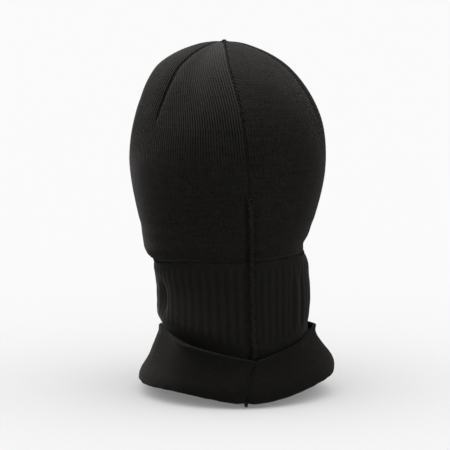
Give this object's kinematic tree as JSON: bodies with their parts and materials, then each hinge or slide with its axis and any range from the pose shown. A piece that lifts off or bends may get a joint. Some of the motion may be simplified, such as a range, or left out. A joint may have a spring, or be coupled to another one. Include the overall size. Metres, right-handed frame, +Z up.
{
  "type": "balaclava",
  "caption": "Black fine-gauge knitted balaclava with a darted crown, a face opening, a wide-rib neck and its lower edge turned up as a flared cuff.",
  "frame": {"origin": "inside of the crown's top, where the top of the wearer's head bears on the knit", "axes": "+Z up, the wearer faces -Y and the wearer's left is +X"},
  "size_m": [0.1608, 0.2077, 0.2818],
  "materials": {
    "fine_rib_knit": "fine one-by-one rib knit, matt with a faint fuzz",
    "wide_rib_knit": "wide rib knit, matt",
    "cuff_knit": "fine rib knit, matt, doubled",
    "seam_thread": "overlocked and linked yarn, matt",
    "label_tape": "woven tape, blank, slightly satin"
  },
  "bodies": {
    "knit": {"crown_gore_back_left": "fine_rib_knit", "crown_gore_left": "fine_rib_knit", "crown_gore_front_left": "fine_rib_knit", "crown_gore_front_right": "fine_rib_knit", "crown_gore_right": "fine_rib_knit", "crown_gore_back_right": "fine_rib_knit", "head_panel": "fine_rib_knit", "face_binding": "cuff_knit", "neck_panel": "wide_rib_knit", "cuff_inner_layer": "wide_rib_knit", "cuff_fold": "cuff_knit", "cuff_outer_layer": "cuff_knit", "cuff_welt": "cuff_knit", "crown_dart_back_left": "seam_thread", "crown_dart_front_left": "seam_thread", "crown_dart_front": "seam_thread", "crown_dart_front_right": "seam_thread", "crown_dart_back_right": "seam_thread", "crown_closure": "seam_thread", "face_binding_seam": "seam_thread", "back_seam_crown": "seam_thread", "back_seam_head": "seam_thread", "back_seam_turn_knot": "seam_thread", "back_seam_nape": "seam_thread", "back_seam_under_cuff": "seam_thread", "back_seam_cuff": "seam_thread", "cuff_fold_tack": "seam_thread", "crease_linking": "seam_thread", "care_label_hem": "label_tape"},
    "label_flap": {"care_label": "label_tape"}
  },
  "joints": [
    {"name": "label_swing", "type": "hinge", "parent": "knit", "child": "label_flap", "pos_m": [0, 0.08674, -0.078], "axis": [-1, 0, 0], "range_deg": [0, 105]}
  ]
}
